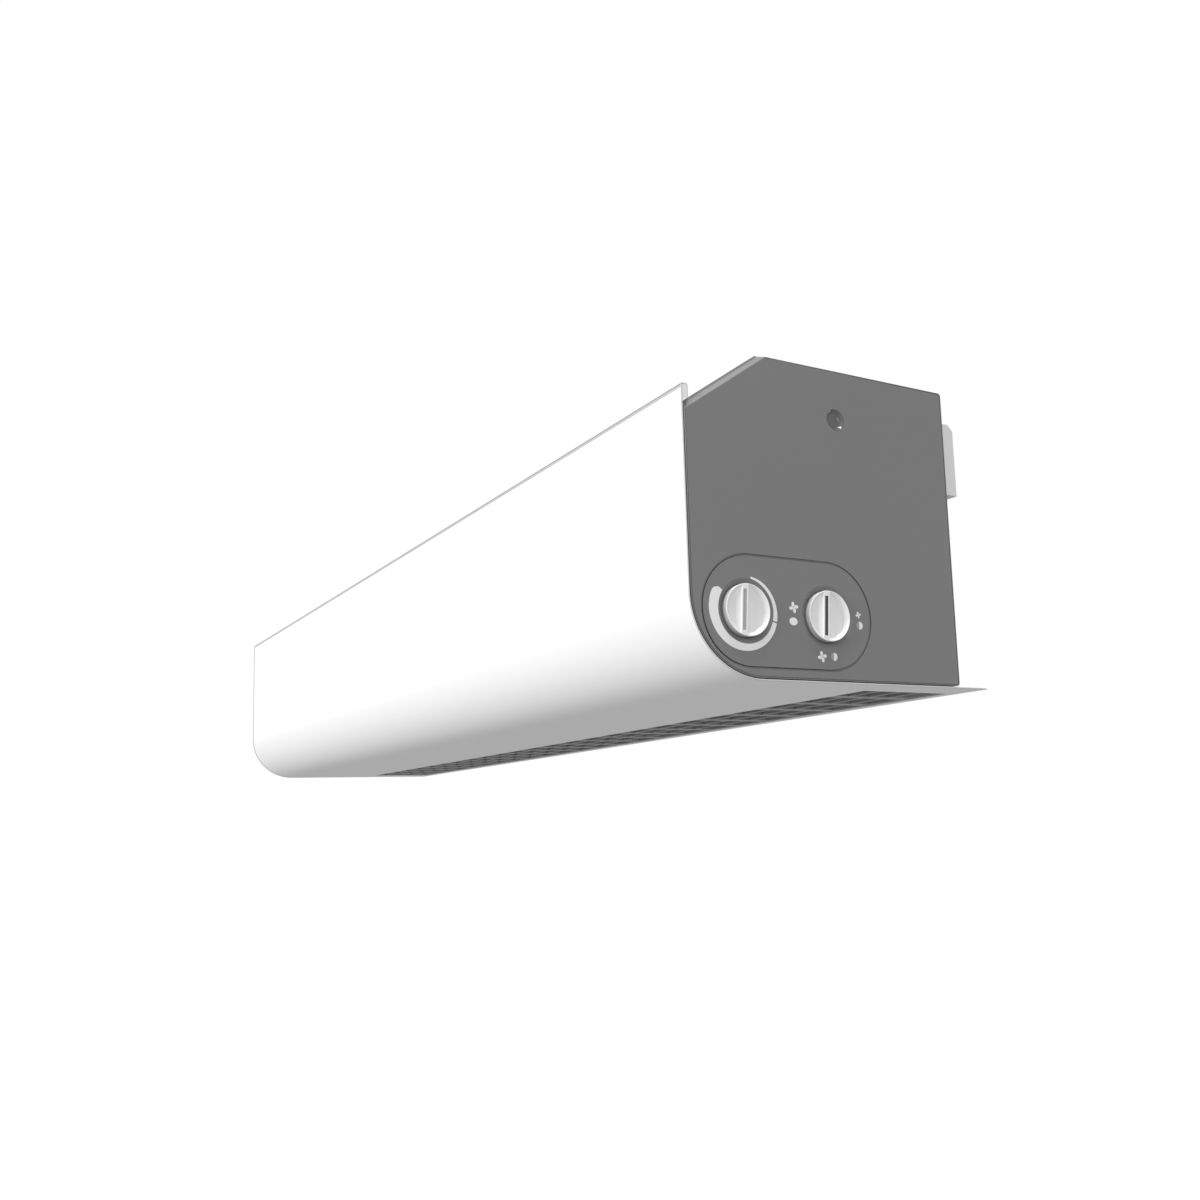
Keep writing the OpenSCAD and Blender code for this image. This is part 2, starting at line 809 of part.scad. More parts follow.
module shaft_coupling() {
    color("darkslategray") hung() mirror([1, 0, 0]) difference() {
        union() {
            rod(coupling_d, rotor_x - disc_t, rotor_x, fan_axis);
            rod(coupling_d + 6, rotor_x - disc_t - 3, rotor_x - disc_t, fan_axis);
            rod(18, rotor_x - coupling_l, rotor_x + 2, fan_axis);
        }
        rod(shaft_d + 2 * press_gap, rotor_x - coupling_l - 1, rotor_x + 3, fan_axis);
    }
}

module motor_shaft()
    color("silver") hung() mirror([1, 0, 0]) rod(shaft_d, rotor_x - coupling_l, motor_end + 4, fan_axis);

module motor() {
    color("darkgray") hung() mirror([1, 0, 0]) difference() {
        union() {
            rod(motor_d, lug_x + 3, motor_end - 3, fan_axis);
            taper(motor_d - 6, motor_d, lug_x, lug_x + 3, fan_axis);
            taper(motor_d, motor_d - 6, motor_end - 3, motor_end, fan_axis);
            rod(24, lug_x - 4, motor_end + 3, fan_axis);
            for (a = lug_angles) along(lug_x, lug_x + lug_t) translate(fan_axis) rotate(a) {
                translate([lug_r, 0]) circle(r = 9);
                translate([lug_r - 16, -9]) square([16, 18]);
            }
        }
        rod(shaft_d + 2 * run_gap, lug_x - 5, motor_end + 4, fan_axis);
        for (a = lug_angles) rod(10.2, lug_x - 1, lug_x + lug_t + 10, polar(fan_axis, lug_r, a));
    }
}

module motor_mounts() {
    color("darkslategray") hung() mirror([1, 0, 0]) for (a = lug_angles) {
        at = polar(fan_axis, lug_r, a);
        difference() {
            union() {
                rod(14, bay_face, lug_x, at);
                rod(10, lug_x - eps, lug_x + lug_t + eps, at);
                rod(14, lug_x + lug_t, lug_x + lug_t + 2, at);
            }
            rod(5, bay_face - 1, lug_x + lug_t + 3, at);
        }
    }
}

module motor_screws() {
    color("silver") hung() mirror([1, 0, 0]) for (a = lug_angles) {
        at = polar(fan_axis, lug_r, a);
        rod(4.9, side_x - 3, lug_x + lug_t + 2 + eps, at);
        rod(9, lug_x + lug_t + 2, lug_x + lug_t + 5, at);
    }
}

capacitor_d = 30;
capacitor_h = 52;
capacitor_z = 28;
clip_t = 1;
clip_h = 12;
clip_reach = 26;
capacitor_at = [capacitor_d / 2 + clip_reach - shell_x, shell_in - clip_t - capacitor_d / 2];

module motor_capacitor() {
    color("whitesmoke") hung() translate([capacitor_at[0], capacitor_at[1], capacitor_z]) {
        cylinder(d = capacitor_d, h = capacitor_h);
        translate([0, 0, capacitor_h]) cylinder(d1 = capacitor_d, d2 = capacitor_d - 4, h = 3);
        for (x = [-5, 5]) translate([x, 0, capacitor_h + 3 - eps]) rotate([90, -90, 0]) tab();
    }
}

module capacitor_clip() {
    color("silver") hung() translate([capacitor_at[0], shell_in, capacitor_z + 22]) difference() {
        union() {
            translate([0, -clip_t - capacitor_d / 2, 0]) cylinder(d = capacitor_d + 2 * clip_t, h = clip_h);
            translate([-clip_reach, -clip_t, 0]) cube([clip_reach, clip_t, clip_h]);
        }
        translate([0, -clip_t - capacitor_d / 2, -1])
            cylinder(d = capacitor_d + 2 * press_gap, h = clip_h + 2);
        post(4.4, 5 - clip_reach, -clip_t - 1, 1, clip_h / 2);
    }
}

// Heater: three hairpins of metal-sheathed tube, bent at the left and wired at the right
heater_room = fan_z - impeller_r - throat_z;
tube_z = throat_z + tube_low * heater_room;
row_gap = (tube_high - tube_low) * heater_room;
tube_rows = [tube_z, tube_z + row_gap];
hairpins = [for (i = [-1:1]) -hairpin_y + i * hairpin_gap];
tube_places = [for (y = hairpins, z = tube_rows) [y, z]];
bush_d = 12;
cold_end = 14;
pin_d = 4;
pin_l = 10;
tube_end = bay_face + cold_end;
tube_bend = side_x - row_gap / 2 - tube_d / 2 - 3;

module heater_tubes() {
    color("dimgray") hung() for (y = hairpins) {
        for (z = tube_rows) {
            rod(tube_d, -tube_bend, tube_end, [y, z]);
            rod(pin_d, tube_end - eps, tube_end + pin_l, [y, z]);
        }
        translate([-tube_bend, y, tube_z + row_gap / 2]) rotate([90, 0, 0]) rotate([0, 0, 90])
            rotate_extrude(angle = 180) translate([row_gap / 2, 0]) circle(d = tube_d);
    }
}

module heater_bushings() {
    color("wheat") hung() for (at = tube_places) difference() {
        union() {
            rod(bush_d - 0.2, side_x - 3, bay_face + 5, at);
            rod(bush_d + 4, bay_face, bay_face + 3, at);
        }
        rod(tube_d + 0.2, side_x - 4, bay_face + 6, at);
    }
}

module heater_supports() {
    low = tube_z - 8;
    high = tube_z + row_gap + 8;
    step = 2 * side_x / (support_count + 1);
    color("lightgray") hung() for (i = [1:support_count])
        along(i * step - side_x - 0.5, i * step - side_x + 0.5) difference() {
            polygon([
                [throat_y(low), low], [tail_y(low), low],
                [tail_y(high), high], [throat_y(high), high]
            ]);
            for (at = tube_places) translate(at) circle(d = tube_d + 0.4);
        }
}

module overheat_cutout() {
    can_l = 7;
    color("ivory") hung() translate([bay_face, -hairpin_y + 8, tube_z + row_gap + 18]) {
        rotate([0, 90, 0]) cylinder(d = 18, h = can_l);
        translate([0, -14, -5]) cube([1, 28, 10]);
        for (z = [-5, 5]) translate([can_l - eps, 0, z]) tab();
    }
}

// Terminal block, earth stud and cable gland, in the right bay
ways = 5;
way = 11;
block_h = 22;
block_z = fan_z - 25;
ridge_h = 12;
screw_row = 8.5;
earth_z = block_z - block_h / 2 - 18;

module terminal_block() {
    low = bay_face + 6;
    high = low + ways * way;
    color("whitesmoke") hung() difference() {
        union() {
            block(low, high, shell_in - 14, shell_in, block_z - block_h / 2, block_z + block_h / 2);
            block(low, high, shell_in - 20, shell_in, block_z - ridge_h / 2, block_z + ridge_h / 2);
        }
        for (i = [0:ways - 1]) {
            x = low + (i + 0.5) * way;
            for (s = [-1, 1]) post(4, x, shell_in - 15, shell_in - 5, block_z + s * screw_row);
            translate([x, shell_in - 10, block_z - block_h / 2 - 1]) cylinder(d = 5, h = block_h + 2);
        }
        for (x = [low + way, high - way]) post(3.4, x, shell_in - 21, shell_in + 1, block_z);
    }
}

module earth_stud() {
    x = end_x - 22;
    color("goldenrod") hung() {
        post(5, x, shell_in - 16, shell_in, earth_z);
        translate([x, shell_in, earth_z]) rotate([90, 0, 0]) cylinder(d = 9.2, h = 4, $fn = 6);
        post(11, x, shell_in - 5, shell_in - 4, earth_z);
    }
}

module cable_gland() {
    color("lightgray") hung() translate([gland_at[0], gland_at[1], 0]) difference() {
        union() {
            translate([0, 0, roof_z - 8]) cylinder(d = gland_d, h = 10);
            translate([0, 0, shell_top]) cylinder(d = gland_nut, h = 7, $fn = 6);
            translate([0, 0, shell_top + 7]) cylinder(d = 24, h = 8);
            translate([0, 0, shell_top + 15]) cylinder(d1 = 24, d2 = 17, h = 4);
        }
        translate([0, 0, roof_z - 9]) cylinder(d = cable_d, h = 40);
    }
}

module gland_locknut() {
    color("lightgray") hung() translate([gland_at[0], gland_at[1], roof_z - 5]) difference() {
        cylinder(d = gland_nut, h = 5, $fn = 6);
        translate([0, 0, -1]) cylinder(d = gland_d + 0.2, h = 7);
    }
}

// End plate fixings
spacer_d = 11;
thread_l = 18;

module end_plate_spacers() {
    color("silver") hung() both_ends() difference() {
        translate([bay_face, well[0], well[1]]) rotate([0, 90, 0])
            cylinder(d = spacer_d, h = boss_x - bay_face, $fn = 6);
        rod(5.1, boss_x - thread_l, end_x, well);
    }
}

module end_plate_screws() {
    color("black") hung() both_ends() {
        rod(5, boss_x - thread_l + 6, well_x, well);
        rod(9.5, well_x, well_x + 2.6, well);
    }
}

// Wall brackets: a channel on the wall, two hooks through the shell and a lock tab below
bracket_nip = 4;
lug = [14, 20];
lug_h = 4;

module bracket_side() {
    top = bracket_z + bracket_h;
    polygon([
        [shell_y, bracket_z], [-lug[1], bracket_z], [-lug[1], bracket_z - lug_h],
        [-lug[0], bracket_z - lug_h], [-lug[0], bracket_z], [0, bracket_z], [0, top - bracket_nip],
        [-bracket_nip, top], [shell_y, top]
    ]);
}

module bracket_hook() {
    back = shell_in - seam;
    tip = back - bracket_t;
    polygon([
        [shell_y, neck_z - 10], [tip, neck_z - 10], [tip, neck_z + 8],
        [back, neck_z + 8], [back, neck_z], [shell_y, neck_z]
    ]);
}

module wall_bracket() {
    color("lightgray") difference() {
        union() {
            block(hook_x[0], hook_x[1], -bracket_t, 0, bracket_z, bracket_z + bracket_h - bracket_nip);
            block(hook_x[0], hook_x[1], shell_y, 0, bracket_z, bracket_z + bracket_t);
            translate([lock_x - 9, shell_y, bracket_z - 12]) cube([18, bracket_t, bracket_t + 12]);
            for (x = hook_x) along(x - bracket_t / 2, x + bracket_t / 2) {
                bracket_side();
                bracket_hook();
            }
        }
        for (z = [bolt_z - bolt_gap / 2, bolt_z + bolt_gap / 2]) post(bolt_d, lock_x, -bracket_t - 1, 1, z);
        post(5.1, lock_x, shell_y - 1, shell_y + bracket_t + 1, lock_z);
    }
}

module wall_bracket_right() hung() wall_bracket();
module wall_bracket_left() hung() mirror([1, 0, 0]) wall_bracket();

module bracket_screws() {
    color("silver") hung() both_ends() {
        post(5, lock_x, shell_in, shell_y + bracket_t + 3, lock_z);
        post(9, lock_x, shell_in - 3, shell_in, lock_z);
    }
}

front_cover();
outlet_grille();
cover_studs();
stud_clips();
end_plate_right();
end_plate_left();
control_panel();
thermostat_knob();
thermostat_spindle();
thermostat_body();
selector_knob();
selector_spindle();
selector_switch();
rear_shell();
intake_grille();
front_rail();
side_plate_right();
side_plate_left();
scroll_panel();
vortex_tongue();
impeller();
fan_shaft();
bearing_bush();
bearing_holder();
shaft_coupling();
motor_shaft();
motor();
motor_mounts();
motor_screws();
motor_capacitor();
capacitor_clip();
heater_tubes();
heater_supports();
heater_bushings();
overheat_cutout();
terminal_block();
earth_stud();
cable_gland();
gland_locknut();
end_plate_spacers();
end_plate_screws();
wall_bracket_right();
wall_bracket_left();
bracket_screws();
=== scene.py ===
from math import cos, radians, sin

import bmesh
import bpy
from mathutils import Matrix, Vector


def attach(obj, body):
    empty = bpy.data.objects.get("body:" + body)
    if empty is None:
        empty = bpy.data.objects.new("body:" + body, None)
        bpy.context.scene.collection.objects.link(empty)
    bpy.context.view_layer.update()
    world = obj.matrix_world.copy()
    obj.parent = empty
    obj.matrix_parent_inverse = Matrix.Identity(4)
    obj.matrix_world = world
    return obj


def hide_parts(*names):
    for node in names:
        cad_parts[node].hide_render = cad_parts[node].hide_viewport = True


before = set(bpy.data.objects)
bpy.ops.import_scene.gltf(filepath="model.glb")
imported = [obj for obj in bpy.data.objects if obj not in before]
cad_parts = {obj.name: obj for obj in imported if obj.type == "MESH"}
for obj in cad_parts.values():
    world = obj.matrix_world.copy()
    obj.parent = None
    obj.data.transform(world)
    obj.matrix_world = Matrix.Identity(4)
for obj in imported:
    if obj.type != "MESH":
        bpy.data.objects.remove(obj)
bpy.ops.object.select_all(action="DESELECT")
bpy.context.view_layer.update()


# Camera
# The unit hangs above a door and is seen from below, past its right-hand end.
# The lens is shifted because the picture is a crop that isn't centred on the view.
picture = 1200
view_middle = (676.2, 658.8)
camera_data = bpy.data.cameras.new("camera")
camera_data.sensor_width = 36
camera_data.lens = 36.4
camera_data.shift_x = 0.5 - view_middle[0] / picture
camera_data.shift_y = view_middle[1] / picture - 0.5
camera = bpy.data.objects.new("camera", camera_data)
camera.location = (1.0462, -0.5687, -0.2318)
camera.rotation_euler = (radians(97.907), radians(2.063), radians(58.277))
bpy.context.scene.collection.objects.link(camera)
bpy.context.scene.camera = camera


# Studio
# A pale floor a metre below and white all round. One large soft light stands nearly level at the front, a
# second hangs overhead, and a weak one faces the right-hand end. The floor is kept out of the bounced light.
room_light, backdrop_light = 0.445, 1.0
floor_size, floor_level = 30, -1.1
bpy.context.scene.view_settings.view_transform = "Standard"
world = bpy.data.worlds.new("studio")
bpy.context.scene.world = world
world.use_nodes = True
world_nodes = world.node_tree.nodes
room = world_nodes["Background"]
room.inputs["Color"].default_value = (1, 1, 1, 1)
room.inputs["Strength"].default_value = room_light
backdrop = world_nodes.new("ShaderNodeBackground")
backdrop.inputs["Color"].default_value = (1, 1, 1, 1)
backdrop.inputs["Strength"].default_value = backdrop_light
seen = world_nodes.new("ShaderNodeLightPath")
either = world_nodes.new("ShaderNodeMixShader")
world.node_tree.links.new(seen.outputs["Is Camera Ray"], either.inputs["Fac"])
world.node_tree.links.new(room.outputs["Background"], either.inputs[1])
world.node_tree.links.new(backdrop.outputs["Background"], either.inputs[2])
world.node_tree.links.new(either.outputs["Shader"], world_nodes["World Output"].inputs["Surface"])

for name, direction, energy, softness in (
    ("front_light", (0.08, -1.0, 0.28), 2.45, 25),
    ("top_light", (0, 0, 1), 4.7, 30),
    ("end_light", (1, -0.15, 0.05), 1.19, 40),
):
    lamp_data = bpy.data.lights.new(name, "SUN")
    lamp_data.energy = energy
    lamp_data.angle = radians(softness)
    lamp = bpy.data.objects.new(name, lamp_data)
    lamp.rotation_euler = Vector(direction).to_track_quat("Z", "Y").to_euler()
    bpy.context.scene.collection.objects.link(lamp)

bpy.ops.mesh.primitive_plane_add(size=floor_size, location=(0, 0, floor_level))
floor = bpy.context.active_object
floor.name = "floor"
floor.visible_diffuse = False
floor.visible_glossy = False
floor_paint = bpy.data.materials.new("floor_paint")
floor_paint.use_nodes = True
floor_shader = floor_paint.node_tree.nodes["Principled BSDF"]
floor_shader.inputs["Base Color"].default_value = (0.8, 0.8, 0.8, 1)
floor_shader.inputs["Roughness"].default_value = 0.9
floor.data.materials.append(floor_paint)
bpy.ops.object.select_all(action="DESELECT")


# Wall brackets
# Two channels of 2 mm sheet in light grey paint, each held to the wall by two bolts.
# Their hooks pass through slots in the back of the shell, and a screw locks each one from below.
mm = 0.001


# A plain finish: a colour, a roughness and a share of bare metal
def finish(name, colour, roughness, metallic=0.0):
    material = bpy.data.materials.new(name)
    material.use_nodes = True
    shader = material.node_tree.nodes["Principled BSDF"]
    shader.inputs["Base Color"].default_value = (*colour, 1)
    shader.inputs["Roughness"].default_value = roughness
    shader.inputs["Metallic"].default_value = metallic
    return material


# Gives a finish its grain: a noise pattern in the piece's own place, with so many spots to the metre.
# Relief is a height in metres, and shade and gloss are the shares by which colour and roughness change.
def give_grain(material, spots, stretch=(1, 1, 1), relief=0.0, shade=0.0, gloss=0.0, detail=3):
    nodes, links = material.node_tree.nodes, material.node_tree.links
    shader = nodes["Principled BSDF"]
    place = nodes.new("ShaderNodeTexCoord")
    turn = nodes.new("ShaderNodeMapping")
    turn.inputs["Scale"].default_value = stretch
    links.new(place.outputs["Object"], turn.inputs["Vector"])
    pattern = nodes.new("ShaderNodeTexNoise")
    pattern.inputs["Scale"].default_value = spots
    pattern.inputs["Detail"].default_value = detail
    links.new(turn.outputs["Vector"], pattern.inputs["Vector"])
    if relief:
        bump = nodes.new("ShaderNodeBump")
        bump.inputs["Distance"].default_value = relief
        links.new(pattern.outputs["Fac"], bump.inputs["Height"])
        links.new(bump.outputs["Normal"], shader.inputs["Normal"])
    if shade:
        tint = nodes.new("ShaderNodeMix")
        tint.data_type = "RGBA"
        colour = shader.inputs["Base Color"].default_value
        tint.inputs["A"].default_value = (*[c * (1 - shade) for c in colour[:3]], 1)
        tint.inputs["B"].default_value = (*[min(c * (1 + shade), 1) for c in colour[:3]], 1)
        links.new(pattern.outputs["Fac"], tint.inputs["Factor"])
        links.new(tint.outputs["Result"], shader.inputs["Base Color"])
    if gloss:
        spread = nodes.new("ShaderNodeMapRange")
        roughness = shader.inputs["Roughness"].default_value
        usual_low, usual_high = 0.3, 0.7
        spread.inputs["From Min"].default_value = usual_low
        spread.inputs["From Max"].default_value = usual_high
        spread.inputs["To Min"].default_value = roughness * (1 - gloss)
        spread.inputs["To Max"].default_value = roughness * (1 + gloss)
        links.new(pattern.outputs["Fac"], spread.inputs["Value"])
        links.new(spread.outputs["Result"], shader.inputs["Roughness"])
    return material


# Puts a finish on CAD nodes that show as they are
def wear(material, *names):
    for name in names:
        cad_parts[name].material_slots[0].material = material


# Eases the edges of a piece with a small round, and keeps its flat faces flat in the light
def ease_edges(piece, width):
    sharp = radians(35)
    bpy.context.view_layer.objects.active = piece
    piece.select_set(True)
    bpy.ops.object.modifier_add(type="BEVEL")
    bevel = piece.modifiers[-1]
    bevel.width = width
    bevel.segments = 2
    bevel.limit_method = "ANGLE"
    bevel.angle_limit = sharp
    bpy.ops.object.modifier_apply(modifier=bevel.name)
    bpy.ops.object.shade_smooth_by_angle(angle=sharp)
    bpy.ops.object.modifier_add(type="WEIGHTED_NORMAL")
    piece.modifiers[-1].keep_sharp = True
    bpy.ops.object.modifier_apply(modifier=piece.modifiers[-1].name)
    bpy.ops.object.select_all(action="DESELECT")


# A merged copy of a CAD node, for a piece that only needs its edges eased
def node_copy(node, name):
    same_place, same_plane = 0.002 * mm, radians(0.5)
    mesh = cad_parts[node].data.copy()
    mesh.materials.clear()
    piece = bpy.data.objects.new(name, mesh)
    bpy.context.scene.collection.objects.link(piece)
    bpy.context.view_layer.objects.active = piece
    piece.select_set(True)
    bpy.ops.mesh.customdata_custom_splitnormals_clear()
    bpy.ops.object.mode_set(mode="EDIT")
    bpy.ops.mesh.select_all(action="SELECT")
    bpy.ops.mesh.remove_doubles(threshold=same_place)
    bpy.ops.mesh.dissolve_limited(angle_limit=same_plane)
    bpy.ops.object.mode_set(mode="OBJECT")
    bpy.ops.object.select_all(action="DESELECT")
    return piece


# Gives a new piece its finish and its body, and hides the CAD node that it stands for
def fit(piece, material, body, node):
    piece.data.materials.append(material)
    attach(piece, body)
    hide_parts(node)


bracket_paint = finish("bracket_paint", (0.72, 0.72, 0.72), 0.45)
give_grain(bracket_paint, 900, relief=0.03 * mm, gloss=0.1)
for side in ("right", "left"):
    bracket = node_copy(f"wall_bracket_{side}", f"bracket_{side}")
    ease_edges(bracket, width=0.4 * mm)
    fit(bracket, bracket_paint, "casing", f"wall_bracket_{side}")
zinc_screw = give_grain(finish("zinc_screw", (0.66, 0.66, 0.66), 0.3, 1.0), 400, gloss=0.3, shade=0.05)
wear(zinc_screw, "bracket_screws", "motor_screws", "cover_studs")


# Rear shell and intake grille
# The back, the top and the intake riser are one bent sheet in white powder coat. The intake grille is a white
# strip with long slots, and lies between the ledge of the shell and the front rail.
white_paint = finish("white_paint", (0.88, 0.88, 0.88), 0.38)
give_grain(white_paint, 650, relief=0.05 * mm, gloss=0.08)
wear(white_paint, "rear_shell", "intake_grille")


# Zinc sheet
# The side plates, the front rail, the scroll, the tongue and the small brackets inside are cut and folded
# from bare zinc coated sheet, with the large spangles of hot dipped zinc.
zinc = finish("zinc", (0.58, 0.59, 0.6), 0.36, 1.0)
give_grain(zinc, 60, shade=0.12, gloss=0.25, detail=1)
wear(zinc, "side_plate_right", "side_plate_left", "front_rail", "scroll_panel", "vortex_tongue",
     "heater_supports", "capacitor_clip", "end_plate_spacers")


# Fan and motor
# The impeller is bare aluminium. Its shaft turns in a bronze bush in rubber at the right, and a rubber
# coupling joins it at the left to the motor, which hangs on three rubber mounts.
wheel_metal = give_grain(finish("wheel_metal", (0.72, 0.72, 0.73), 0.34, 1.0), 500, gloss=0.2, shade=0.04)
wear(wheel_metal, "impeller")
motor_metal = finish("motor_metal", (0.42, 0.42, 0.43), 0.5, 1.0)
give_grain(motor_metal, 900, relief=0.08 * mm, gloss=0.2)
wear(motor_metal, "motor")
turned_steel = finish("turned_steel", (0.6, 0.6, 0.61), 0.25, 1.0)
give_grain(turned_steel, 300, stretch=(12, 1, 1), shade=0.06, gloss=0.3)
wear(turned_steel, "fan_shaft", "motor_shaft", "thermostat_spindle", "selector_spindle")
rubber = give_grain(finish("rubber", (0.03, 0.03, 0.03), 0.8), 1500, relief=0.04 * mm, gloss=0.1)
wear(rubber, "bearing_holder", "shaft_coupling", "motor_mounts")
bronze = give_grain(finish("bronze", (0.5, 0.33, 0.18), 0.4, 1.0), 1200, shade=0.15, gloss=0.2)
wear(bronze, "bearing_bush")
white_can = give_grain(finish("white_can", (0.86, 0.86, 0.85), 0.3), 300, gloss=0.15, shade=0.02)
wear(white_can, "motor_capacitor")


# Heater
# Three hairpins of metal-sheathed tube, browned by heat. Their ends sit in ceramic bushings in the right-hand
# side plate, and three sheet plates hold them along their length.
sheath = finish("sheath", (0.2, 0.17, 0.15), 0.45, 1.0)
give_grain(sheath, 35, shade=0.35, gloss=0.25)
wear(sheath, "heater_tubes")
ceramic = give_grain(finish("ceramic", (0.8, 0.76, 0.66), 0.25), 200, shade=0.04, gloss=0.2)
wear(ceramic, "heater_bushings")


# Terminals, switches and the cable gland
# The small moulded parts are pale plastic and the earth stud is brass. The gland is a light grey moulding,
# screwed into the top of the shell with a locknut below.
pale_plastic = finish("pale_plastic", (0.82, 0.8, 0.72), 0.5)
give_grain(pale_plastic, 1400, relief=0.02 * mm, shade=0.02)
wear(pale_plastic, "stud_clips", "thermostat_body", "selector_switch", "overheat_cutout", "terminal_block")
brass = give_grain(finish("brass", (0.72, 0.53, 0.24), 0.3, 1.0), 500, shade=0.06, gloss=0.2)
wear(brass, "earth_stud")
gland_plastic = finish("gland_plastic", (0.55, 0.55, 0.55), 0.5)
give_grain(gland_plastic, 1400, relief=0.03 * mm, shade=0.03)
wear(gland_plastic, "cable_gland", "gland_locknut")


# End plates
# Dark grey mouldings with a fine grain, one on each end: a face with a fine groove inside its edge and a rim
# that sits in the end of the cover. The slope stands proud of the shell and has a bevel that catches the
# light. One long screw in a round well holds each plate, and a dished plug hides its head.
end_x = 505 * mm
plate_front, plate_back = -219.5 * mm, -24 * mm
plate_low, plate_top = -151.5 * mm, 37 * mm
slope_foot, slope_head = Vector((0, -219.7 * mm, -2.5 * mm)), Vector((0, -163 * mm, 37 * mm))
rim_width, rim_wall, face_wall = 13 * mm, 2.5 * mm, 3 * mm
front_round, back_round = 46 * mm, 2 * mm
lip, groove, groove_depth, draft = 0.3 * mm, 0.5 * mm, 0.5 * mm, 0.1 * mm
slope_proud, slope_lip, bevel_width, bevel_depth = 3.1 * mm, 1.2 * mm, 3.0 * mm, 2.0 * mm
boss_radius, boss_top, boss_end = 10 * mm, end_x - 1.5 * mm, end_x - 7 * mm
well_at, well_radius, well_step = (-112 * mm, 6.4 * mm), 6.5 * mm, end_x - 2.5 * mm
head_radius, head_seat, screw_radius = 4.85 * mm, end_x - 5.2 * mm, 2.75 * mm
along = (slope_head - slope_foot).normalized()
outward = Vector((0, -along.z, along.y))
slope_at = slope_foot + outward * slope_proud
panel_at, panel_length, panel_height = (-153.1 * mm, -114 * mm), 117.8 * mm, 62.4 * mm
# The plug's outline: places from the face and radii, in millimetres
plug_outline = ((-2.4, 6.35), (-0.2, 6.35), (0, 6.15), (-0.7, 5.55), (-1.5, 4.85), (-2.05, 4.25),
                (-2.2, 3.6), (-2.25, 0.6))
past, overrun, close = 1 * mm, 30 * mm, 0.01 * mm


# Selects the points, edges or faces of a piece in edit mode whose points all pass a test
def pick(piece, kind, test):
    mesh = bmesh.from_edit_mesh(piece.data)
    bpy.ops.mesh.select_mode(type=kind)
    bpy.ops.mesh.select_all(action="DESELECT")
    for part in {"VERT": mesh.verts, "EDGE": mesh.edges, "FACE": mesh.faces}[kind]:
        points = [part.co] if kind == "VERT" else [point.co for point in part.verts]
        if all(test(point) for point in points):
            part.select_set(True)
    mesh.select_flush_mode()
    bmesh.update_edit_mesh(piece.data)


# True where two measures are the same to a hundredth of a millimetre
def near(a, b):
    return abs(a - b) < close


# A rectangular block between two opposite corners
def add_block(name, low, high):
    bpy.ops.mesh.primitive_cube_add(size=1, location=[(a + b) / 2 for a, b in zip(low, high)])
    block = bpy.context.active_object
    block.name = name
    block.scale = [b - a for a, b in zip(low, high)]
    bpy.ops.object.transform_apply(location=True, rotation=True, scale=True)
    return block


# A solid turned about a line along X: its outline is a list of (x, radius) points
def turn_solid(name, at, outline, sides=64):
    (x, radius), *rest = outline
    bpy.ops.mesh.primitive_circle_add(vertices=sides, radius=radius, fill_type="NGON",
                                      location=(x, *at), rotation=(0, radians(90), 0))
    solid = bpy.context.active_object
    solid.name = name
    bpy.ops.object.transform_apply(location=True, rotation=True, scale=True)
    bpy.ops.object.mode_set(mode="EDIT")
    bpy.ops.mesh.select_mode(type="FACE")
    bpy.ops.mesh.select_all(action="SELECT")
    for next_x, next_radius in rest:
        bpy.ops.mesh.extrude_region_move(TRANSFORM_OT_translate={"value": (next_x - x, 0, 0)})
        share = next_radius / radius
        bpy.ops.transform.resize(value=(1, share, share), center_override=(next_x, *at))
        x, radius = next_x, next_radius
    bpy.ops.mesh.select_all(action="SELECT")
    bpy.ops.mesh.normals_make_consistent(inside=False)
    bpy.ops.object.mode_set(mode="OBJECT")
    return solid


# Cuts a tool out of a piece, or joins it on, and clears the tool away
def work(piece, tool, how="DIFFERENCE"):
    bpy.ops.object.select_all(action="DESELECT")
    bpy.context.view_layer.objects.active = piece
    piece.select_set(True)
    bpy.ops.object.modifier_add(type="BOOLEAN")
    piece.modifiers[-1].object = tool
    piece.modifiers[-1].operation = how
    bpy.ops.object.modifier_apply(modifier=piece.modifiers[-1].name)
    bpy.ops.object.select_all(action="DESELECT")
    bpy.data.objects.remove(tool)


# A block with round ends: a rectangle whose short sides are rounded by nearly half its height
def stadium(name, x0, x1, middle, length, height):
    half = (length / 2, height / 2)
    end_round = half[1] - 0.001 * mm
    shape = add_block(name, (x0, middle[0] - half[0], middle[1] - half[1]),
                      (x1, middle[0] + half[0], middle[1] + half[1]))
    bpy.ops.object.mode_set(mode="EDIT")
    mesh = bmesh.from_edit_mesh(shape.data)
    bpy.ops.mesh.select_mode(type="EDGE")
    bpy.ops.mesh.select_all(action="DESELECT")
    for edge in mesh.edges:
        if not near(edge.verts[0].co.x, edge.verts[1].co.x):
            edge.select_set(True)
    bmesh.update_edit_mesh(shape.data)
    bpy.ops.mesh.bevel(offset=end_round, segments=24, profile=0.5)
    bpy.ops.object.mode_set(mode="OBJECT")
    return shape


